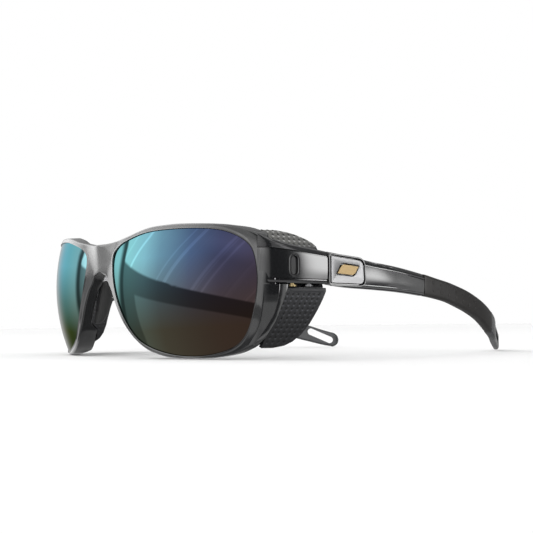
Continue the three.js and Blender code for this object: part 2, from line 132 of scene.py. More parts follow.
def add_mesh(name, points, faces, smooth=40.0):
    """New object from points in mm, welded, facing out, with its place in its mesh."""
    pts = np.asarray(points, float).reshape(-1, 3).copy()
    pts[:, 1] += SHIFT
    mesh = bpy.data.meshes.new(name)
    mesh.from_pydata((pts * 0.001).tolist(), [], [list(f) for f in faces])
    bm = bmesh.new()
    bm.from_mesh(mesh)
    bmesh.ops.remove_doubles(bm, verts=bm.verts, dist=2e-6)
    bmesh.ops.recalc_face_normals(bm, faces=bm.faces)
    bm.to_mesh(mesh)
    bm.free()
    obj = bpy.data.objects.new(name, mesh)
    bpy.context.scene.collection.objects.link(obj)
    soften(obj, smooth)
    return obj


def pick(obj):
    """Only this object selected and active."""
    if bpy.context.object and bpy.context.object.mode != "OBJECT":
        bpy.ops.object.mode_set(mode="OBJECT")
    bpy.ops.object.select_all(action="DESELECT")
    obj.select_set(True)
    bpy.context.view_layer.objects.active = obj


def soften(obj, degrees):
    pick(obj)
    bpy.ops.object.shade_smooth_by_angle(angle=math.radians(degrees))


def loft_faces(rings, size, closed=False, caps=True, skip=None):
    """Faces between rings of points of one size, as indices."""
    faces = []
    for i in range(rings if closed else rings - 1):
        a, b = i * size, ((i + 1) % rings) * size
        for j in range(size):
            k = (j + 1) % size
            if skip and skip(i, j):
                continue
            faces.append((a + j, a + k, b + k, b + j))
    if caps and not closed:
        faces.append(tuple(range(size))[::-1])
        faces.append(tuple(range((rings - 1) * size, rings * size)))
    return faces


def ring_mesh(name, outside, inside, place, low, high):
    """Closed band between two outlines of one size, between two heights."""
    at, ax, ay, az = place
    lay = lambda outline, h: [at + ax * p[0] + ay * p[1] + az * h for p in outline]
    n = len(outside)
    points = lay(outside, low) + lay(outside, high) + lay(inside, high) + lay(inside, low)
    faces = [(r * n + j, r * n + (j + 1) % n, (r + 1) % 4 * n + (j + 1) % n, (r + 1) % 4 * n + j)
             for r in range(4) for j in range(n)]
    return add_mesh(name, points, faces)


def finish_bevel(obj, width, segments=2, angle=40.0):
    pick(obj)
    mod = obj.modifiers.new("Round edges", "BEVEL")
    mod.width = width * 0.001
    mod.segments = segments
    mod.limit_method = "ANGLE"
    mod.angle_limit = math.radians(angle)
    mod.harden_normals = False
    bpy.ops.object.modifier_apply(modifier=mod.name)


def cut(obj, tool):
    """Boolean difference, after which the tool is gone."""
    pick(obj)
    mod = obj.modifiers.new("Cut", "BOOLEAN")
    mod.operation = "DIFFERENCE"
    mod.solver = "EXACT"
    mod.object = tool
    bpy.ops.object.modifier_apply(modifier=mod.name)
    bpy.data.objects.remove(tool)


def mirrored(obj, name):
    """A copy for the other side, with its own mesh."""
    twin = bpy.data.objects.new(name, obj.data.copy())
    bpy.context.scene.collection.objects.link(twin)
    twin.data.name = name
    twin.data.transform(Matrix.Diagonal((-1, 1, 1, 1)))
    twin.data.flip_normals()
    return twin


def both_sides(obj, piece):
    """The left piece and its copy for the right, each with its side."""
    obj.name = obj.data.name = f"left_{piece}"
    return ("left", obj), ("right", mirrored(obj, f"right_{piece}"))


def join(objs, name):
    pick(objs[0])
    for obj in objs[1:]:
        obj.select_set(True)
    if len(objs) > 1:
        bpy.ops.object.join()
    objs[0].name = name
    objs[0].data.name = name
    return objs[0]


def settle(obj, body, slot, node, finish=None):
    """Finish, body, slot and the node that the piece stands for."""
    obj.data.materials.clear()
    obj.data.materials.append(look(finish or slot))
    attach(obj, body)
    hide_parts(node)


def basis_at(y, depth, z, tilt=0.0):
    """Axes on the side: x rearward, y up, z outward; in mm."""
    _, along, inward = plan_at(y)
    c, s = math.cos(tilt), math.sin(tilt)
    up = np.array((0, 0, 1.0))
    ax, ay = along * c + up * s, up * c - along * s
    return side_point(y, depth, z), ax, ay, -inward


def rounded_outline(corners, steps=6):
    """Closed outline with a round at each corner, from (x, y, radius)."""
    out = []
    n = len(corners)
    for i, (x, y, r) in enumerate(corners):
        at = np.array((x, y), float)
        a = np.array(corners[i - 1][:2], float) - at
        b = np.array(corners[(i + 1) % n][:2], float) - at
        a, b = at + a / np.linalg.norm(a) * r, at + b / np.linalg.norm(b) * r
        for t in np.linspace(0, 1, steps):
            out.append((1 - t) ** 2 * a + 2 * t * (1 - t) * at + t * t * b)
    return np.array(out)


def stadium(length, height, steps=10):
    r, half = height / 2, length / 2 - height / 2
    a = np.linspace(-math.pi / 2, math.pi / 2, steps)
    right = np.stack((half + r * np.cos(a), r * np.sin(a)), axis=1)
    return np.vstack((right, -right))


def plate_mesh(name, outline, place, low, high):
    """Slab over an outline, between two heights above the place's plane."""
    at, ax, ay, az = place
    ring = lambda h: [at + ax * p[0] + ay * p[1] + az * h for p in outline]
    points = ring(low) + ring(high)
    return add_mesh(name, points, loft_faces(2, len(outline)))


# ---- materials -----------------------------------------------------------------------------------

class Nodes:
    """Short way to wire a material's nodes."""

    def __init__(self, name):
        self.material = bpy.data.materials.new(name)
        self.material.use_nodes = True
        self.tree = self.material.node_tree
        self.bsdf = self.tree.nodes["Principled BSDF"]

    def link(self, a, b):
        self.tree.links.new(a, b)

    def math(self, operation, *values, clamp=False):
        node = self.tree.nodes.new("ShaderNodeMath")
        node.operation = operation
        node.use_clamp = clamp
        for socket, value in zip(node.inputs, values):
            if isinstance(value, (int, float)):
                socket.default_value = value
            else:
                self.link(value, socket)
        return node.outputs[0]

    def place(self):
        """x, y and z of the point, in mm, with the bridge front at y 0."""
        coords = self.tree.nodes.new("ShaderNodeTexCoord")
        mapping = self.tree.nodes.new("ShaderNodeMapping")
        mapping.inputs["Scale"].default_value = (1000, 1000, 1000)
        mapping.inputs["Location"].default_value = (0, -SHIFT, 0)
        self.link(coords.outputs["Object"], mapping.inputs["Vector"])
        split = self.tree.nodes.new("ShaderNodeSeparateXYZ")
        self.link(mapping.outputs[0], split.inputs[0])
        return mapping.outputs[0], split.outputs

    def colors(self, factor, stops):
        node = self.tree.nodes.new("ShaderNodeValToRGB")
        elements = node.color_ramp.elements
        while len(elements) < len(stops):
            elements.new(0.5)
        for element, (at, color) in zip(elements, stops):
            element.position = at
            element.color = (*color, 1)
        self.link(factor, node.inputs[0])
        return node.outputs[0]

    def mix(self, factor, a, b, blend="MIX"):
        node = self.tree.nodes.new("ShaderNodeMix")
        node.data_type = "RGBA"
        node.blend_type = blend
        for socket, value in ((node.inputs[0], factor), (node.inputs[6], a), (node.inputs[7], b)):
            if isinstance(value, (int, float)):
                socket.default_value = value
            elif isinstance(value, tuple):
                socket.default_value = (*value, 1)
            else:
                self.link(value, socket)
        return node.outputs[2]

    def bump(self, height, strength=0.3, distance=0.0001):
        node = self.tree.nodes.new("ShaderNodeBump")
        node.inputs["Strength"].default_value = strength
        node.inputs["Distance"].default_value = distance
        self.link(height, node.inputs["Height"])
        self.link(node.outputs[0], self.bsdf.inputs["Normal"])

    def noise(self, vector, scale, detail=4.0):
        node = self.tree.nodes.new("ShaderNodeTexNoise")
        node.inputs["Scale"].default_value = scale
        node.inputs["Detail"].default_value = detail
        self.link(vector, node.inputs["Vector"])
        return node.outputs["Fac"]

    def attribute(self, name):
        node = self.tree.nodes.new("ShaderNodeAttribute")
        node.attribute_name = name
        return node.outputs["Fac"]

    def set(self, **values):
        for key, value in values.items():
            self.bsdf.inputs[key.replace("_", " ")].default_value = value


def smoke_nylon(name, base, rough, transmission=0.0):
    n = Nodes(name)
    where, (_, y, z) = n.place()
    cloud = n.noise(where, 0.05, 3)
    grain = n.noise(where, 4.0, 2)
    tone = tuple(c * 0.8 for c in base)
    # Painted highlight: the top of the front (above z 27.5, ahead of y 17) is painted a lighter grey where it
    # catches light; it is also made rougher there.
    brow = n.math("MULTIPLY", n.math("DIVIDE", n.math("SUBTRACT", z, 27.5), 4.0, clamp=True),
                  n.math("DIVIDE", n.math("SUBTRACT", 17.0, y), 9.0, clamp=True))
    shade = n.mix(brow, n.mix(cloud, tone, base), (0.07, 0.07, 0.07))
    n.link(shade, n.bsdf.inputs["Base Color"])
    uneven = n.math("ADD", n.math("MULTIPLY", grain, 0.06), n.math("MULTIPLY", brow, 0.16))
    n.link(n.math("ADD", uneven, rough), n.bsdf.inputs["Roughness"])
    n.bump(grain, 0.008)
    n.set(IOR=1.5, Transmission_Weight=transmission, Coat_Weight=0.3, Coat_Roughness=0.04,
          Specular_IOR_Level=0.5 if transmission else 0.75)
    return n.material


def mirror_lens():
    """Mirror coat: teal by the nose, blue then violet outwards, brown and olive below. The right lens has a
    tint of its own and a brighter nasal zone, a painted reflection.
    """
    n = Nodes("mirror_coat")
    _, (x, _, z) = n.place()
    across = n.math("DIVIDE", n.math("SUBTRACT", n.math("ABSOLUTE", x), 9.0), 56.0, clamp=True)
    upper = n.colors(across, [
        (0.0, (0.105, 0.21, 0.215)), (0.2, (0.1, 0.23, 0.245)), (0.34, (0.085, 0.19, 0.225)),
        (0.46, (0.055, 0.115, 0.155)), (0.66, (0.03, 0.05, 0.095)), (0.82, (0.026, 0.03, 0.062)),
        (1.0, (0.026, 0.022, 0.04))])
    lower = n.colors(across, [
        (0.0, (0.06, 0.085, 0.07)), (0.25, (0.055, 0.066, 0.05)), (0.45, (0.042, 0.038, 0.026)),
        (0.8, (0.037, 0.024, 0.017)), (1.0, (0.034, 0.021, 0.015))])
    slope = n.math("ADD", z, n.math("MULTIPLY", across, -3.0))
    height = n.math("DIVIDE", n.math("SUBTRACT", slope, 8.0), 24.0, clamp=True)
    blend = n.colors(height, [(0.0, (0, 0, 0)), (0.45, (0.35, 0.35, 0.35)), (1.0, (1, 1, 1))])
    tint = n.mix(blend, lower, upper)
    # Painted reflection: the right lens (x below 0) gets a tint of its own and a nasal zone made 1.7 times
    # brighter, so the two lenses look lit differently.
    nasal = n.math("DIVIDE", n.math("SUBTRACT", 15.0, n.math("ABSOLUTE", x)), 4.0, clamp=True)
    right = n.math("LESS_THAN", x, 0.0)
    far_lens_painted_tint = n.mix(blend, (0.06, 0.066, 0.05), (0.085, 0.15, 0.165))
    tint = n.mix(n.math("MULTIPLY", right, 0.75), tint, far_lens_painted_tint)
    tint = n.mix(n.math("MULTIPLY", right, nasal), tint, n.mix(1.0, tint, (1.7, 1.7, 1.7), "MULTIPLY"))
    edge = n.mix(0.75, (0.9, 0.9, 0.92), n.mix(1.0, tint, (3, 3, 3), "MULTIPLY"))
    n.link(tint, n.bsdf.inputs["Base Color"])
    n.link(edge, n.bsdf.inputs["Specular Tint"])
    n.set(Metallic=1.0, Roughness=0.02, Coat_Weight=0.0)
    return n.material


def rubber(name, base, rough, pitch, strength):
    n = Nodes(name)
    where, _ = n.place()
    fine = n.noise(where, pitch, 3)
    broad = n.noise(where, 0.15, 2)
    tone = n.mix(broad, tuple(c * 0.75 for c in base), tuple(c * 1.2 for c in base))
    n.link(tone, n.bsdf.inputs["Base Color"])
    n.link(n.math("MULTIPLY_ADD", broad, 0.12, rough), n.bsdf.inputs["Roughness"])
    n.bump(fine, strength)
    n.set(IOR=1.5, Sheen_Weight=0.03, Specular_IOR_Level=0.4)
    return n.material


def shield_rubber(base):
    """Matte rubber with painted light: painted shade in the dimples and low down, a painted highlight on the
    brow wing and a painted glint under each dimple.
    """
    n = Nodes("shield_rubber")
    where, (_, _, z) = n.place()
    fine = n.noise(where, 8.0, 3)
    # Painted shade: the rubber darkens to a third of its colour towards the bottom. Painted highlight: the
    # brow wing above z 35 is painted light grey, where light falls from above.
    low = n.math("DIVIDE", n.math("SUBTRACT", z, 5.0), 17.0, clamp=True)
    wing = n.math("DIVIDE", n.math("SUBTRACT", z, 35.0), 2.0, clamp=True)
    tone = n.mix(low, tuple(c * 0.35 for c in base), base)
    tone = n.mix(wing, tone, (0.12, 0.12, 0.114))
    # Painted shade in each dimple, and a painted glint: the lip below each dimple is painted five times
    # lighter.
    tone = n.mix(n.math("MULTIPLY", n.attribute("pit"), 0.85), tone, tuple(c * 0.2 for c in base))
    painted_glint = n.mix(1.0, tone, (5.0, 5.0, 5.2), "MULTIPLY")
    tone = n.mix(n.math("MULTIPLY", n.attribute("lip"), 0.6), tone, painted_glint)
    n.link(tone, n.bsdf.inputs["Base Color"])
    n.bump(fine, 0.1)
    n.set(Roughness=0.45, IOR=1.5, Specular_IOR_Level=0.35)
    return n.material


def metal(name, base, rough, brushed=0.0):
    n = Nodes(name)
    where, _ = n.place()
    stretch = n.tree.nodes.new("ShaderNodeMapping")
    stretch.inputs["Scale"].default_value = (1, 1, 12)
    n.link(where, stretch.inputs[0])
    lines = n.noise(stretch.outputs[0], 2.0, 4)
    n.link(n.mix(lines, tuple(c * 0.8 for c in base), base), n.bsdf.inputs["Base Color"])
    n.link(n.math("MULTIPLY_ADD", lines, 0.15, rough), n.bsdf.inputs["Roughness"])
    n.bump(lines, brushed)
    n.set(Metallic=1.0)
    return n.material


MATERIALS = {}


def look(name):
    """Each finish is made once, from the colours in the panel."""
    if name in MATERIALS:
        return MATERIALS[name]
    colors = bpy.context.scene.glasses_colors
    makers = {
        "smoke_nylon": lambda: smoke_nylon("smoke_nylon", tuple(colors.nylon), 0.07),
        "clear_smoke": lambda: smoke_nylon("clear_smoke", (0.045, 0.047, 0.05), 0.12, 0.2),
        "mirror_lens": mirror_lens,
        "shield_rubber": lambda: shield_rubber(tuple(colors.shield)),
        "soft_rubber": lambda: rubber("soft_rubber", tuple(colors.pad), 0.5, 5.0, 0.1),
        "grip_rubber": lambda: rubber("grip_rubber", tuple(colors.grip), 0.38, 6.0, 0.12),
        "dark_plastic": lambda: rubber("dark_plastic", (0.02, 0.02, 0.021), 0.3, 6.0, 0.04),
        "hinge_steel": lambda: metal("hinge_steel", (0.16, 0.16, 0.165), 0.25, 0.1),
        "brass": lambda: metal("brass", (0.32, 0.25, 0.13), 0.22, 0.05),
        "silver_plate": lambda: metal("silver_plate", tuple(colors.plate), 0.25, 0.03),
        "gold_inlay": lambda: metal("gold_inlay", tuple(colors.inlay), 0.3, 0.03),
    }
    MATERIALS[name] = makers[name]()
    return MATERIALS[name]


# ---- sizes and colours a user can change ---------------------------------------------------------

class GlassesColors(bpy.types.PropertyGroup):
    nylon: bpy.props.FloatVectorProperty(
        name="Frame", description="Colour of the smoke nylon", subtype="COLOR", size=3, min=0, max=1,
        default=(0.008, 0.0085, 0.0095))
    shield: bpy.props.FloatVectorProperty(
        name="Shields", description="Colour of the side shields", subtype="COLOR", size=3, min=0, max=1,
        default=(0.021, 0.0215, 0.024))
    pad: bpy.props.FloatVectorProperty(
        name="Nose pads", description="Colour of the nose pads", subtype="COLOR", size=3, min=0, max=1,
        default=(0.026, 0.026, 0.026))
    grip: bpy.props.FloatVectorProperty(
        name="Grips", description="Colour of the grip sleeves", subtype="COLOR", size=3, min=0, max=1,
        default=(0.018, 0.0165, 0.0155))
    plate: bpy.props.FloatVectorProperty(
        name="Badge plate", description="Colour of the badge plates", subtype="COLOR", size=3, min=0, max=1,
        default=(0.214, 0.214, 0.217))
    inlay: bpy.props.FloatVectorProperty(
        name="Badge inlay", description="Colour of the inlay in the badge plates", subtype="COLOR", size=3,
        min=0, max=1, default=(0.26, 0.19, 0.1))


class GlassesSizes(bpy.types.PropertyGroup):
    stations: bpy.props.IntProperty(
        name="Rim sections", description="Sections of the rim around each lens", default=188, min=72, max=400)
    dimple: bpy.props.FloatProperty(
        name="Dimple depth", description="Depth of the dimples in the shields", default=0.00034, min=0,
        max=0.001, subtype="DISTANCE", unit="LENGTH")
    stud: bpy.props.FloatProperty(
        name="Grip stud height", description="Height of the small studs on the grips", default=0.00025, min=0,
        max=0.001, subtype="DISTANCE", unit="LENGTH")


# ---- front ---------------------------------------------------------------------------------------

def ray_hits(outline, angles):
    """Where rays from the hub cross an outline given as a dense run of points."""
    rel = outline - HUB
    turn = np.unwrap(np.arctan2(rel[:, 1], rel[:, 0]))
    if turn[-1] < turn[0]:
        turn, rel = turn[::-1], rel[::-1]
    reach = np.linalg.norm(rel, axis=1)
    want = (angles - turn[0]) % (2 * math.pi) + turn[0]
    return HUB + np.stack((np.cos(angles), np.sin(angles)), axis=1) * np.interp(want, turn, reach)[:, None]


def rim_wall(uv):
    """Direction and depth of the rim wall behind a point of its outline."""
    u, v = uv
    temporal, nasal = ramp(u, 8, 27), 1 - ramp(u, -27, -18)
    lobe = ramp(-u, 7, 15) * (1 - ramp(-u, 24, 28)) * ramp(-v, 9, 15)
    straight = np.array((0.22, 1, 0)) / math.hypot(0.22, 1)
    k = max(temporal, nasal, lobe)
    back = -NORMAL * (1 - k) + straight * k
    depth = 4.6 + temporal * (1.5 + min(0, v) * 0.1) + lobe * 3.6
    depth -= 1.6 * ramp(u, 24, 27) * ramp(v, -3, 0)
    return back / np.linalg.norm(back), depth


def bridge_y(x, z):
    """Front of the bridge at the middle, and the rim sphere there."""
    middle = 0.4 + 0.8 * min(1, max(0, (39 - z) / 8.8))
    sphere = LENS_CENTRE[1] - math.sqrt(RIM_R**2 - (x - LENS_CENTRE[0])**2 - (z - LENS_CENTRE[2])**2)
    return middle, sphere


def rim_section(p, q, in_bridge):
    """Points of the rim's section: inner wall, front, outer wall, back."""
    e = (q - HUB) / np.linalg.norm(q - HUB)
    w = np.linalg.norm(q - p)
    wall, depth = rim_wall(q)
    rest = wall * (depth - 3.1)
    side = ACROSS * e[0] + UPWARD * e[1]
    points = [on_sphere(p + e * out, r)
              for out, r in ((0, 63.9), (0, 66.5), (0.03, 66.95), (0.1, 67.03), (0.36, 66.83))]
    r = 0.6 + min(1.4, max(0.0, w - 1.2)) * ramp(q[0], 12, 26)
    for t in (0.11, 0.22, 0.33, 0.44, 0.56, 0.67, 0.78, 0.89):
        points.append(on_sphere(p + e * (0.38 + (w - r - 0.38) * t), 66.83))
    base = on_sphere(q, 66.82)
    for turn in (0.0, 22.5, 45.0, 67.5):
        c, k = math.cos(math.radians(turn)), math.sin(math.radians(turn))
        points.append(on_sphere(q - e * r * (1 - k), 66.82) + wall * r * (1 - c))
    points += [base + wall * (r + (depth - r) * t) for t in (0.0, 0.3, 0.65)]
    points += [base + wall * (depth - 0.5), base + wall * (depth - 0.12) - side * 0.15,
               base + wall * depth - side * 0.5]
    inner = on_sphere(p, 63.9) + rest
    points += [inner + side * 0.5 + wall * 0.12, inner + side * 0.12, inner - wall * 0.4]
    section = []
    for i, point in enumerate(points):
        x = max(point[0], 0.0)
        middle, sphere = bridge_y(x, min(max(point[2], 27), 41))
        k = 1 - ramp(x, 0, 12)
        if in_bridge and 13 <= i <= 22:
            x = 0.0
            k = 1.0
        section.append((x, point[1] + k * (middle - sphere), point[2]))
    return section


def front_shell():
    """Both rims and the bridge as one closed surface, mirrored and welded at the middle."""
    count = bpy.context.scene.glasses_sizes.stations
    ends = RIM_OUTSIDE[0], RIM_OUTSIDE[-1]
    corner_low, corner_top = (math.atan2(y - HUB[1], x - HUB[0]) for x, y in ends)
    span = corner_low - corner_top
    inside = 25
    arc = 2 * math.pi - span
    angles = np.concatenate((corner_top + np.linspace(0, span, inside)[:-1],
                             corner_low + np.linspace(0, arc, count - inside + 1)[:-1]))
    opening = spline(OPENING, 900, closed=True)
    closed_outside = np.vstack((spline(RIM_OUTSIDE, 900), RIM_OUTSIDE[0]))
    p_all, q_all = ray_hits(opening, angles), ray_hits(closed_outside, angles)
    rings = [rim_section(p, q, i < inside) for i, (p, q) in enumerate(zip(p_all, q_all))]
    size = len(rings[0])
    faces = loft_faces(len(rings), size, closed=True, skip=lambda i, j: i < inside - 1 and 13 <= j < 22)
    points = np.array(rings).reshape(-1, 3)
    both = np.vstack((points, points * (-1, 1, 1)))
    twin = [tuple(len(points) + k for k in reversed(f)) for f in faces]
    return add_mesh("front", both, faces + twin, 38)


ENDPIECE_ROWS = [
    # y, bottom, ridge, top
    (21.6, 24.3, 35.5, 39.5), (22.5, 24.2, 35.45, 39.2), (24, 24.1, 35.4, 38.7), (26.7, 24.0, 35.15, 37.9),
    (29, 23.97, 34.85, 37.25), (31.9, 23.95, 34.5, 36.6), (36.5, 23.85, 33.95, 35.75), (41, 23.8, 33.4, 35.1),
    (45.9, 23.7, 32.8, 34.4),
]


def panel_section(y, low, ridge, top, thick, panel, end=0.0, lines=0.0):
    """Section of endpiece and temple: bevelled strip over a recessed glossy panel over a lip."""
    g = 0.34 * panel
    m = 0.2 * lines
    rise = top - ridge
    tall = ridge - low
    k = min(1.0, tall / 7)
    pts = [
        (thick - 0.6, top - 0.15), (thick * 0.55, top), (1.45, top - 0.02), (1.15, top - 0.1 * rise),
        (0.98 + m, top - 0.2 * rise), (0.82, top - 0.27 * rise), (0.6, top - 0.45 * rise),
        (0.5 + m, top - 0.54 * rise), (0.36, top - 0.62 * rise), (0.12, ridge + 0.14), (0.04, ridge + 0.02),
        (0.08 + g, ridge - 0.12), (0.08 + g, ridge - 0.34), (0.0, ridge - 0.5), (-0.03, ridge - 0.8),
        (-0.07, low + 0.72 * tall), (-0.07, low + 0.58 * tall), (-0.03, low + 0.44 * tall),
        (0.06, low + 0.3 * tall), (0.16, low + 1.6 * k), (0.2 + g, low + 1.35 * k), (0.2 + g, low + 1.1 * k),
        (0.12, low + 0.9 * k),
        (0.18, low + 0.4 * k), (0.5, low),
        (thick - 0.5, low), (thick - 0.05, low + 0.5), (thick, low + 1.2), (thick, top - 1.2),
        (thick - 0.12, top - 0.5),
    ]
    mid = (low + top) / 2
    out = []
    for depth, z in pts:
        depth = depth + (thick / 2 - depth) * end * 0.25
        out.append(side_point(y, depth, z + (mid - z) * end * 0.05))
    return out


def sample(rows, at):
    """Rows of a table read at other places along its first column."""
    return [(y, *(float(np.interp(y, rows[:, 0], column)) for column in rows[:, 1:].T)) for y in at]


def endpiece():
    rows = sample(np.array(ENDPIECE_ROWS), np.linspace(ENDPIECE_ROWS[0][0], ENDPIECE_ROWS[-1][0], 64))
    rings = [panel_section(*row, ENDPIECE_THICK, ramp(row[0], 21, 22)) for row in rows]
    y, low, ridge, top = rows[-1]
    rings.append(panel_section(y + 0.12, low, ridge, top, ENDPIECE_THICK, 1, 0.35))
    obj = add_mesh("endpiece", rings, loft_faces(len(rings), len(rings[0])), 34)
    slot = basis_at(SLOT_AT[0], 0, SLOT_AT[1], math.pi / 2)
    cut(obj, plate_mesh("slot", stadium(7.0, 3.4), slot, -6, 2))
    bezel = ring_mesh("slot_bezel", stadium(7.7, 4.1), stadium(6.0, 2.4), slot, -2.6, 0.2)
    finish_bevel(bezel, 0.3, 3, 50)
    strip = [[side_point(y, d, z) for d, z in ((3.0, 24.6), (2.2, 22.62), (3.3, 22.56), (3.5, 24.6))]
             for y in np.linspace(28.6, 45.6, 24)]
    skirt = add_mesh("skirt", strip, loft_faces(24, 4))
    return join([obj, bezel, skirt, shield_channel()], "endpiece")


def shield_channel():
    """Thin skin running back from the rim over the front edge of the shield."""
    rear = np.array([(3.2, 22.6), (4.5, 24.2), (6.6, 26.0), (11.6, 28.1), (17, 29.4), (20, 30.3),
                     (22.3, 31.0), (24.5, 31.2)])
    profile = np.array(SHIELD_PROFILE[:7] + [(0.35, 24.5)])
    rings = []
    for z in np.linspace(4.4, 23.55, 40):
        depth = float(np.interp(z, profile[:, 1], profile[:, 0]))
        end = float(np.interp(z, rear[:, 0], rear[:, 1]))
        start = float(np.interp(z, (4.4, 8, 12, 24), (21.5, 22.6, 23.2, 23.2)))
        fold = float(np.interp(z, (4.4, 9, 14.6, 22, 24.4), (22.6, 24.9, 27.1, 28.1, 28.2)))
        out = [
            (start, depth - 0.7), (fold - 0.5, depth - 0.8), (fold - 0.15, depth - 0.77),
            (fold, depth - 0.7), (fold + 0.15, depth - 0.6), (end - 0.25, depth - 0.46),
            (end - 0.06, depth - 0.4), (end, depth - 0.3),
        ]
        back = [(y, depth - 0.1) for y in (end, fold, start)]
        rings.append([np.array((plan_at(y)[0][0] - d, y, z)) for y, d in out + back])
    return add_mesh("channel", rings, loft_faces(len(rings), 11))


def side_groove(low, high, start, stop, depth):
    """Cutter for a thin groove that runs back along the side."""
    rings = [[side_point(y, d, z) for d, z in ((-2, low), (-2, high), (depth, high), (depth, low))]
             for y in np.linspace(start, stop, 20)]
    return add_mesh("groove", rings, loft_faces(20, 4))


class GLASSES_OT_front(bpy.types.Operator):
    """Makes the front: rims, bridge and endpieces"""
    bl_idname = "glasses.front"
    bl_label = "Front frame"

    def execute(self, context):
        shell = front_shell()
        for low, high, start, depth in ((23.55, 23.95, 22.9, 0.6), (35.3, 35.55, 22.4, 0.35)):
            groove = side_groove(low, high, start, 31, depth)
            cut(shell, mirrored(groove, "groove"))
            cut(shell, groove)
        side = endpiece()
        obj = join([shell, side, mirrored(side, "endpiece")], "frame_front")
        soften(obj, 34)
        settle(obj, "front", "smoke_nylon", "front_frame")
        return {"FINISHED"}


class GLASSES_OT_lenses(bpy.types.Operator):
    """Makes both curved mirror lenses"""
    bl_idname = "glasses.lenses"
    bl_label = "Lenses"

    def execute(self, context):
        opening = spline(OPENING, 900, closed=True)
        angles = np.linspace(0, 2 * math.pi, 145)[:-1]
        edge = ray_hits(opening, angles)
        reach = np.linalg.norm(edge - HUB, axis=1)
        scales = [0.012, *np.linspace(0.1, 0.98, 12)]

        def at_scale(scale, radius):
            return [on_sphere(HUB + (q - HUB) * scale, radius) for q in edge]

        def past_edge(by, radius):
            return [on_sphere(HUB + (q - HUB) * (r + by) / r, radius) for q, r in zip(edge, reach)]

        rings = [at_scale(scale, LENS_FACE) for scale in scales]
        rings += [past_edge(0, LENS_FACE), past_edge(0.35, LENS_FACE), past_edge(0.35, LENS_BACK)]
        rings += [at_scale(scale, LENS_BACK) for scale in scales[::-1]]
        lens = add_mesh("lens", rings, loft_faces(len(rings), len(edge)))
        for side, obj in both_sides(lens, "mirror_lens"):
            settle(obj, "front", "mirror_lens", f"{side}_lens")
        return {"FINISHED"}


# ---- nose pads -----------------------------------------------------------------------------------

PAD_TOP = np.array((8.9, 7.2, 25.4))
PAD_LOW = np.array((14.7, 8.0, 12.0))
PAD_AXIS = (PAD_LOW - PAD_TOP) / np.linalg.norm(PAD_LOW - PAD_TOP)
PAD_BACK = np.array((0.36, 0.93, 0.0))
PAD_BACK -= PAD_AXIS * PAD_AXIS.dot(PAD_BACK)
PAD_BACK /= np.linalg.norm(PAD_BACK)
PAD_FACE = -np.cross(PAD_AXIS, PAD_BACK)
PAD_ROWS = [
    (-1.2, 2.4, 0.45), (-0.8, 3.2, 0.9), (0.4, 4.2, 1.2), (3, 5.4, 1.6), (6.5, 5.9, 1.8), (10, 5.4, 1.7),
    (13, 4.3, 1.3), (14.6, 3.2, 0.85), (15, 2.6, 0.4),
]


class GLASSES_OT_nose_pads(bpy.types.Operator):
    """Makes the soft nose pads"""
    bl_idname = "glasses.nose_pads"
    bl_label = "Nose pads"

    def execute(self, context):
        rows = spline(PAD_ROWS, 30)
        outline = [(0, -0.6), (0.5, -1), (0.9, -0.65), (1, 0.1), (0.8, 0.95), (0.4, 1.2), (0, 0.8)]
        section = spline(outline, 24, closed=True)[:-1]
        rings = [[PAD_TOP + PAD_AXIS * a + PAD_BACK * (r * s[0]) + PAD_FACE * (h * s[1]) for s in section]
                 for a, r, h in rows]
        pad = add_mesh("pad", rings, loft_faces(len(rings), len(section)), 60)
        for side, obj in both_sides(pad, "pad"):
            settle(obj, f"{side}_pad", "soft_rubber", f"{side}_nose_pad")
        return {"FINISHED"}


# ---- temples -------------------------------------------------------------------------------------

TEMPLE_ROWS = [
    # y, bottom, top, thickness
    (46.25, 23.65, 34.4, 3.4), (55, 22.7, 33.2, 3.4), (64.5, 22.2, 31.6, 3.3), (76.8, 21.4, 29.9, 3.2),
    (88, 20.2, 27.8, 3.2), (95, 19.2, 26.3, 3.3), (101, 18.1, 25.1, 3.4), (107, 16.4, 23.6, 3.5),
    (113, 14.6, 22, 3.5), (120.8, 11.8, 19.4, 3.4), (126, 9.4, 17.4, 3.3), (131.4, 6.85, 15, 3.2),
    (136, 4.8, 12.8, 2.8), (141, 3, 10.5, 2.4), (147, 1.1, 8, 2.2), (150.6, 0.3, 6.7, 2.2),
]


def temple_rows(start, stop, count):
    return sample(spline(TEMPLE_ROWS, 400), np.linspace(start, stop, count))


def round_section(y, low, top, thick, inset=0.0, r=0.9):
    """Rounded section of the rear of the temple."""
    a, b, l, t = inset, thick - inset, low + inset, top - inset
    r = min(r, (b - a) / 2 - 0.02)
    pts = []
    for cx, cz, s in ((b - r, t - r, 0), (a + r, t - r, 1), (a + r, l + r, 2), (b - r, l + r, 3)):
        for k in range(5):
            ang = math.pi / 2 * (s + k / 4)
            pts.append((cx + r * math.cos(ang), cz + r * math.sin(ang)))
    return [side_point(y, d, z) for d, z in pts]


def temple_arm():
    """Front of the temple with its panel, then the neck under the sleeve."""
    rings = []
    for i, (y, low, top, thick) in enumerate(temple_rows(46.25, 88, 60)):
        fade = 1 - ramp(y, 61, 87)
        rings.append(panel_section(y, low, top - 1.6, top, thick, fade, 0.35 if i == 0 else 0.0, fade))
    for y, low, top, thick in temple_rows(88.05, 131.4, 20):
        rings.append(panel_section(y, low + 0.9, top - 2.4, top - 0.9, thick - 1.8, 0))
        rings[-1] = [p + plan_at(y)[2] * 0.9 for p in rings[-1]]
    return add_mesh("arm", rings, loft_faces(len(rings), len(rings[0])), 34)


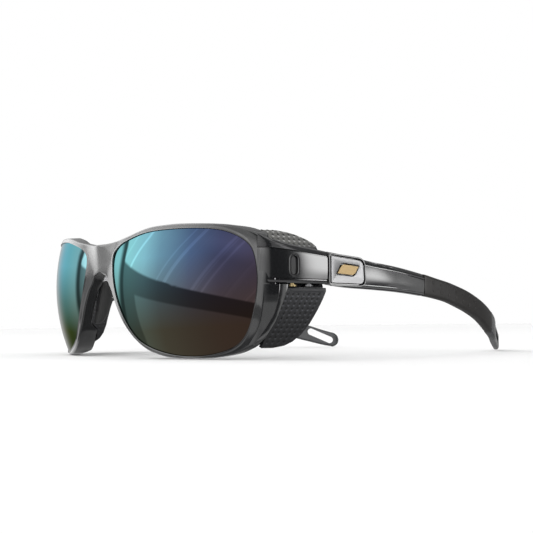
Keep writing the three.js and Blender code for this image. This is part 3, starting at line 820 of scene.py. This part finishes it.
def temple_tip():
    rings = [round_section(*row, 0.9) for row in temple_rows(128, 131.2, 3)]
    rings += [round_section(*row) for row in temple_rows(131.4, 150.4, 40)]
    last, low, top, thick = temple_rows(150.3, 150.4, 2)[1]
    for k in np.linspace(0.08, 1, 9):
        y = last + 2.75 * math.sin(k * math.pi / 2)
        drop = 1 - math.cos(k * math.pi / 2)
        low_end, top_end = low - 0.25 + 2.4 * drop, top - 0.6 * k - 2.2 * drop
        rings.append(round_section(y, low_end, top_end, thick, 0.35 * drop))
    obj = add_mesh("tip", rings, loft_faces(len(rings), len(rings[0])), 40)
    place = basis_at(146.4, 0, 5.2, math.atan2(-4.6, 10.4))
    cut(obj, plate_mesh("cord_slot", stadium(12.6, 3, 16), place, -6, 3))
    finish_bevel(obj, 0.25, 2, 50)
    soften(obj, 45)
    return obj


PLATE = [(-6.9, 24.1, 0.4), (6.9, 23.8, 2), (6.5, 31.5, 2), (-6.9, 33, 0.4)]


def grown(corners, by):
    return [(x + math.copysign(by, x), z + (by if z > 28 else -by), r + max(by, -r)) for x, z, r in corners]


class GLASSES_OT_temples(bpy.types.Operator):
    """Makes both temples and their tips"""
    bl_idname = "glasses.temples"
    bl_label = "Temples"

    def execute(self, context):
        pocket = rounded_outline(grown(PLATE, 0.42))
        place = basis_at(BADGE_Y, 0, 0)
        arm = temple_arm()
        cut(arm, plate_mesh("pocket", pocket, place, -1.2, 2))
        bezel = ring_mesh("bezel", rounded_outline(grown(PLATE, 0.95)), pocket, place, -0.9, 0.1)
        finish_bevel(bezel, 0.18, 2, 50)
        arm = join([arm, bezel], "arm")
        soften(arm, 34)
        for piece, name, finish in ((arm, "arm", "smoke_nylon"), (temple_tip(), "tip", "clear_smoke")):
            for side, obj in both_sides(piece, name):
                settle(obj, f"{side}_temple_arm", "smoke_nylon", f"{side}_temple", finish)
        return {"FINISHED"}


class GLASSES_OT_badges(bpy.types.Operator):
    """Makes the badge plates with their plain inlays"""
    bl_idname = "glasses.badges"
    bl_label = "Badges"

    def execute(self, context):
        place = basis_at(BADGE_Y, 0, 0)
        inlay = [(-4.6, 27.2, 0.5), (2.4, 26.6, 1.2), (4.6, 29.6, 0.5), (-2.4, 30.4, 1.2)]
        plate = plate_mesh("badge_panel", rounded_outline(PLATE), place, -0.9, 0.06)
        well = [(x + math.copysign(0.28, x), z + (0.28 if z > 28.5 else -0.28), r) for x, z, r in inlay]
        cut(plate, plate_mesh("well", rounded_outline(well), place, -0.5, 1))
        finish_bevel(plate, 0.28, 3, 50)
        soften(plate, 40)
        mark = plate_mesh("badge_mark", rounded_outline(inlay), place, -0.3, 0.22)
        finish_bevel(mark, 0.12, 2, 50)
        soften(mark, 40)
        for side, obj in both_sides(plate, "badge_panel"):
            settle(obj, f"{side}_temple_arm", "silver_plate", f"{side}_badge_plate")
        for side, obj in both_sides(mark, "badge_mark"):
            settle(obj, f"{side}_temple_arm", "gold_inlay", f"{side}_badge_inlay")
        return {"FINISHED"}


def grip_studs():
    """Two staggered rows of low oval studs along the sleeve."""
    height = bpy.context.scene.glasses_sizes.stud * 1000
    points, faces = [], []
    for level in (0.72, 0.33):
        for y, low, top, _ in temple_rows(92.4, 116.7, 7):
            z = low + (top - low) * level
            at, ax, ay, az = basis_at(y, 0.03, z, 0.1)
            base = len(points)
            points.append(at + az * height)
            for reach, up in ((0.45, 0.85), (0.8, 0.5), (1.0, -0.3)):
                for a in np.linspace(0, 2 * math.pi, 13)[:-1]:
                    points.append(at + ax * 0.38 * reach * math.cos(a) + ay * 0.75 * reach * math.sin(a)
                                  + az * height * up)
            faces += [(base, base + 1 + j, base + 1 + (j + 1) % 12) for j in range(12)]
            for ring in (0, 1):
                a = base + 1 + 12 * ring
                faces += [(a + j, a + (j + 1) % 12, a + 12 + (j + 1) % 12, a + 12 + j) for j in range(12)]
            faces.append(tuple(base + 25 + j for j in range(12)))
    return add_mesh("studs", points, faces, 60)


class GLASSES_OT_sleeves(bpy.types.Operator):
    """Makes the rubber grip sleeves with their studs"""
    bl_idname = "glasses.sleeves"
    bl_label = "Grip sleeves"

    def execute(self, context):
        rows = temple_rows(SLEEVE_FROM, SLEEVE_TO, 60)
        rings = [round_section(*row, 0.08 if row in (rows[0], rows[-1]) else 0.0, 1.1) for row in rows]
        body = add_mesh("sleeve", rings, loft_faces(len(rings), len(rings[0])), 50)
        for side, obj in both_sides(join([body, grip_studs()], "grip"), "grip"):
            settle(obj, f"{side}_temple_arm", "grip_rubber", f"{side}_grip_sleeve")
        return {"FINISHED"}


# ---- side shields --------------------------------------------------------------------------------

SHIELD_PROFILE = [
    (5.9, 3.4), (4.9, 6), (3.2, 10), (1.8, 14), (0.8, 18), (0.45, 20.6), (0.4, 21.6), (0.45, 22.3),
    (0.9, 22.5), (2.5, 22.5), (4.9, 22.5), (5.4, 23), (5.4, 26), (5.4, 30), (5.4, 34.4), (5.7, 35.6),
    (6.6, 37.4), (7.9, 39.6), (8.9, 41.3),
]
FRONT_EDGE = [(3.4, 25.6), (9.2, 26.6), (15, 28.0), (22.4, 29.3), (30, 29), (35, 29), (38, 25.5), (42, 25.5)]
REAR_EDGE = [(3.4, 29.4), (4, 33.2), (5.3, 36), (7.6, 38.6), (10.8, 40.7), (15.9, 43.1), (21.4, 45.5),
             (22.5, 45.5), (22.51, 37.2), (35, 37.2), (35.05, 46.4), (36.2, 46.2), (37.4, 45), (38.6, 43),
             (40, 39.6), (40.8, 36.4), (41.3, 33.2)]


def shield_sheet(thick=1.3):
    """Outer face as a grid of fine rows with dimples, a plain inner face, and the edges between them."""
    profile = spline(SHIELD_PROFILE, 260)
    front, rear = np.array(FRONT_EDGE), np.array(REAR_EDGE)
    depth = bpy.context.scene.glasses_sizes.dimple * 1000
    across = 100
    tangent = np.gradient(profile, axis=0)
    tangent /= np.linalg.norm(tangent, axis=1)[:, None]
    outer, inner = [], []
    for (t, z), (dt, dz) in zip(profile, tangent):
        key = 22.5 if 22.35 < z < 22.7 and t < 2.6 else 22.55 if 22.4 < z < 22.9 and t >= 2.6 else z
        y0, y1 = np.interp(z, front[:, 0], front[:, 1]), np.interp(key, rear[:, 0], rear[:, 1])
        it, iz = t + dz * thick, z - dt * thick
        if iz > 22.5 - thick and it < 0.4 + thick:
            it, iz = 0.4 + thick, 22.5 - thick
        for s in np.linspace(0, 1, across):
            y = y0 + (y1 - y0) * s
            edge = min(y - y0, y1 - y)
            sink = dimple(y, z) * depth * ramp(edge, 0.8, 1.5) * float(z < 20.9 or z > 36)
            if z < 21.8:
                groove = math.exp(-((z - 21.1) / 0.16) ** 2) * ramp(y, 32.2, 32.8) * (1 - ramp(y, 44.2, 44.6))
                groove += math.exp(-((y - y0 - 3.0) / 0.18) ** 2) * ramp(z, 5, 8)
                sink += 0.22 * groove
            x = plan_at(min(y, 45))[0][0]
            outer.append((x - t - sink * dz, y, z + sink * dt))
            inner.append((x - it, y, iz))
    rows, total = len(profile), len(profile) * across
    faces = []
    for i in range(rows - 1):
        for j in range(across - 1):
            a = i * across + j
            faces.append((a, a + 1, a + across + 1, a + across))
            faces.append((total + a, total + a + across, total + a + across + 1, total + a + 1))
    loop = list(range(across))
    loop += [i * across + across - 1 for i in range(1, rows)]
    loop += [(rows - 1) * across + j for j in range(across - 2, -1, -1)]
    loop += [i * across for i in range(rows - 2, 0, -1)]
    for a, b in zip(loop, loop[1:] + loop[:1]):
        faces.append((a, b, total + b, total + a))
    obj = add_mesh("sheet", outer + inner, faces, 50)
    mark_dimples(obj)
    return obj


def mark_dimples(obj):
    """Stores how deep each point sits in a dimple, and the lip under each one; the material paints shade into
    the dimples and a glint onto the lips.
    """
    pit = obj.data.attributes.new("pit", "FLOAT", "POINT")
    lip = obj.data.attributes.new("lip", "FLOAT", "POINT")
    for i, v in enumerate(obj.data.vertices):
        y, z = v.co.y * 1000 - SHIFT, v.co.z * 1000
        here = float(3.6 < z < 20.9 or z > 36)
        pit.data[i].value = here * dimple(y, z)
        lip.data[i].value = here * dimple(y + 0.12, z + 0.42) * (1 - dimple(y, z)) * ramp(z, 3.6, 5)


def dimple(y, z):
    """Depth of a staggered grid of round dimples, 0 to 1."""
    row = (20.3 - z) / 1.5
    near = round(row)
    col = (y - 33.2 + 0.6 * near) / 1.93
    dy, dz = (col - round(col)) * 1.93, (row - near) * 1.5
    return float(1 - ramp(math.hypot(dy, dz), 0.15, 0.52))


class GLASSES_OT_shields(bpy.types.Operator):
    """Makes the soft side shields"""
    bl_idname = "glasses.shields"
    bl_label = "Side shields"

    def execute(self, context):
        for side, obj in both_sides(shield_sheet(), "shield"):
            settle(obj, f"{side}_shield", "shield_rubber", f"{side}_side_shield")
        return {"FINISHED"}


# ---- small hardware: the frame's own nodes with finishes -----------------------------------------

class GLASSES_OT_hardware(bpy.types.Operator):
    """Gives the hinges, bushes, studs, clips and pad cores their finishes"""
    bl_idname = "glasses.hardware"
    bl_label = "Hinges and clips"

    def execute(self, context):
        finishes = {
            "hinge_steel": ("front_hinge_leaf", "temple_hinge_leaf", "hinge_screw", "hinge_bush"),
            "brass": ("shield_stud",),
            "dark_plastic": ("shield_clip", "nose_pad_core"),
        }
        for side in ("left", "right"):
            for finish, nodes in finishes.items():
                for node in nodes:
                    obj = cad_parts[f"{side}_{node}"]
                    obj.data.materials.clear()
                    obj.data.materials.append(look(finish))
        return {"FINISHED"}


# ---- stage ---------------------------------------------------------------------------------------

def studio_world():
    """Soft surroundings: a broad bright panel ahead, a dark gap at table height, a bright strip aside."""
    world = bpy.data.worlds.new("studio")
    bpy.context.scene.world = world
    world.use_nodes = True
    tree = world.node_tree
    tree.nodes.clear()

    def op(operation, a, b=0.0, clamp=False):
        node = tree.nodes.new("ShaderNodeMath")
        node.operation = operation
        node.use_clamp = clamp
        for socket, value in zip(node.inputs, (a, b)):
            if isinstance(value, (int, float)):
                socket.default_value = value
            else:
                tree.links.new(value, socket)
        return node.outputs[0]

    def step(value, start, end):
        node = tree.nodes.new("ShaderNodeMapRange")
        node.interpolation_type = "SMOOTHSTEP"
        tree.links.new(value, node.inputs["Value"])
        node.inputs["From Min"].default_value = start
        node.inputs["From Max"].default_value = end
        return node.outputs[0]

    def times(*values):
        product = values[0]
        for value in values[1:]:
            product = op("MULTIPLY", product, value)
        return product

    def less(value, amount=1.0):
        """What is left of 1 when a share of the value is taken away."""
        return op("SUBTRACT", 1.0, op("MULTIPLY", value, amount))

    def band(value, low, full, fade, high):
        return times(step(value, low, full), less(step(value, fade, high)))

    coords = tree.nodes.new("ShaderNodeTexCoord")
    split = tree.nodes.new("ShaderNodeSeparateXYZ")
    tree.links.new(coords.outputs["Generated"], split.inputs[0])
    x, y, z = split.outputs
    az = op("MULTIPLY", op("ARCTAN2", x, op("MULTIPLY", y, -1.0)), math.degrees(1))
    el = op("MULTIPLY", op("ARCSINE", z), math.degrees(1))
    lift = op("ADD", el, op("MULTIPLY", op("ADD", az, 17.0), 0.225))
    streak = tree.nodes.new("ShaderNodeTexNoise")
    streak.noise_dimensions = "1D"
    streak.inputs["Scale"].default_value = 0.16
    streak.inputs["Detail"].default_value = 2
    tree.links.new(op("SUBTRACT", az, op("MULTIPLY", el, 0.9)), streak.inputs["W"])
    streaks = op("ADD", 0.92, op("MULTIPLY", step(streak.outputs["Fac"], 0.52, 0.72), 0.5))

    ahead = band(az, -59.5, -57.5, 60, 90)
    dim = times(step(az, -8, 24), less(step(lift, 20, 32)))
    upper = times(step(lift, -0.8, 0.6), ahead, less(step(el, 22, 45), 0.85), less(dim, 0.42))
    field = times(less(step(lift, -10.6, -9.2)), step(az, -48, -46), ahead)
    left = times(less(step(az, -66, -61)), step(az, -122, -84), op("ADD", 1.0, times(step(el, -16, -2), 1.2)))
    aside = times(less(step(el, 16, 28)), band(az, 110, 119.5, 126.5, 129.5), step(el, -10, 1))
    gap = times(band(az, 82, 90, 106, 110), step(el, -14, -8))
    below = times(band(az, 70, 85, 112, 130), less(step(el, -24, -14)))
    under = times(ahead, less(step(el, -46, -37)))

    total = op("ADD", 0.3, times(upper, streaks, 2.1))
    ahead_left = times(ahead, less(step(az, -50, 10)))
    for part, strength in ((ahead, 0.15), (ahead_left, 0.28), (field, 0.6), (left, 1.0), (aside, 8.0),
                           (step(el, 25, 50), 0.35)):
        total = op("ADD", total, times(part, strength))
    total = times(total, less(step(az, 132, 142), 0.6))
    total = op("ADD", total, times(band(az, 127, 129, 134, 140), 0.9))
    total = times(total, less(gap, 0.8))
    total = op("ADD", total, times(below, 0.5))
    total = times(total, less(under, 0.75))
    path = tree.nodes.new("ShaderNodeLightPath")
    seen = tree.nodes.new("ShaderNodeMix")
    tree.links.new(path.outputs["Is Camera Ray"], seen.inputs[0])
    tree.links.new(total, seen.inputs[2])
    seen.inputs[3].default_value = 1.0
    back = tree.nodes.new("ShaderNodeBackground")
    back.inputs["Color"].default_value = (1, 1, 1, 1)
    tree.links.new(seen.outputs[0], back.inputs["Strength"])
    out = tree.nodes.new("ShaderNodeOutputWorld")
    tree.links.new(back.outputs[0], out.inputs[0])


def area_light(name, place, target, size, power):
    data = bpy.data.lights.new(name, "AREA")
    data.shape = "RECTANGLE"
    data.size, data.size_y = size
    data.energy = power
    obj = bpy.data.objects.new(name, data)
    bpy.context.scene.collection.objects.link(obj)
    obj.location = place
    obj.rotation_mode = "QUATERNION"
    obj.rotation_quaternion = (Vector(target) - Vector(place)).to_track_quat("-Z", "Y")
    return obj


CAMERA_AT = (0.34269, (-187.67 + SHIFT) / 1000, 0.01142)
CAMERA_TURN = (52.563, -2.898, -0.55)     # round the glasses, up, and roll, in degrees
CAMERA_LENS = 75.13


class GLASSES_OT_stage(bpy.types.Operator):
    """Makes the floor, the studio light and the camera"""
    bl_idname = "glasses.stage"
    bl_label = "Stage"

    def execute(self, context):
        scene = context.scene
        bpy.ops.object.select_all(action="DESELECT")
        bpy.ops.mesh.primitive_plane_add(size=6.0, location=(0, 0, -0.0001))
        floor = context.object
        floor.name = "floor"
        floor.visible_glossy = False
        n = Nodes("floor_paper")
        where, _ = n.place()
        paper = n.mix(n.noise(where, 0.01, 2), (0.83, 0.83, 0.83), (0.85, 0.85, 0.85))
        n.link(paper, n.bsdf.inputs["Base Color"])
        n.set(Roughness=0.9, Specular_IOR_Level=0.1)
        floor.data.materials.append(n.material)
        studio_world()
        area_light("key", (-0.35, -0.55, 0.9), (0, 0, 0), (0.5, 0.5), 0.7)
        area_light("top", (0.15, 0.25, 0.95), (0, 0, 0), (0.6, 0.6), 0.7)

        camera_data = bpy.data.cameras.new("camera")
        camera = bpy.data.objects.new("camera", camera_data)
        scene.collection.objects.link(camera)
        camera_data.lens, camera_data.sensor_width = CAMERA_LENS, 36
        camera_data.clip_start, camera_data.clip_end = 0.01, 20
        az, el, roll = (math.radians(a) for a in CAMERA_TURN)
        back = Vector((math.sin(az) * math.cos(el), -math.cos(az) * math.cos(el), math.sin(el)))
        right = (-back).cross(Vector((0, 0, 1))).normalized()
        up = right.cross(-back)
        tilted = right * math.cos(roll) + up * math.sin(roll)
        above = up * math.cos(roll) - right * math.sin(roll)
        turned = Matrix((tilted, above, back)).transposed().to_4x4()
        camera.matrix_world = Matrix.Translation(CAMERA_AT) @ turned
        scene.camera = camera
        scene.view_settings.view_transform = "Standard"
        scene.view_settings.look = "None"
        return {"FINISHED"}


OPERATORS = (
    GLASSES_OT_front, GLASSES_OT_lenses, GLASSES_OT_nose_pads, GLASSES_OT_temples, GLASSES_OT_badges,
    GLASSES_OT_sleeves, GLASSES_OT_shields, GLASSES_OT_hardware, GLASSES_OT_stage,
)


class GLASSES_PT_panel(bpy.types.Panel):
    """Lists the pieces of the glasses"""
    bl_idname = "GLASSES_PT_panel"
    bl_label = "Glacier glasses"
    bl_space_type = "VIEW_3D"
    bl_region_type = "UI"
    bl_category = "Glasses"

    def draw(self, context):
        for group in (context.scene.glasses_colors, context.scene.glasses_sizes):
            for key in group.__annotations__:
                self.layout.prop(group, key)
        for operator in OPERATORS:
            self.layout.operator(operator.bl_idname)


CLASSES = (GlassesColors, GlassesSizes, *OPERATORS, GLASSES_PT_panel)


def register():
    for cls in CLASSES:
        bpy.utils.register_class(cls)
    bpy.types.Scene.glasses_colors = bpy.props.PointerProperty(type=GlassesColors)
    bpy.types.Scene.glasses_sizes = bpy.props.PointerProperty(type=GlassesSizes)


def unregister():
    del bpy.types.Scene.glasses_colors
    del bpy.types.Scene.glasses_sizes
    for cls in reversed(CLASSES):
        bpy.utils.unregister_class(cls)


def main():
    register()
    bpy.ops.glasses.front()
    bpy.ops.glasses.lenses()
    bpy.ops.glasses.nose_pads()
    bpy.ops.glasses.temples()
    bpy.ops.glasses.badges()
    bpy.ops.glasses.sleeves()
    bpy.ops.glasses.shields()
    bpy.ops.glasses.hardware()
    bpy.ops.glasses.stage()


if __name__ == "__main__":
    main()
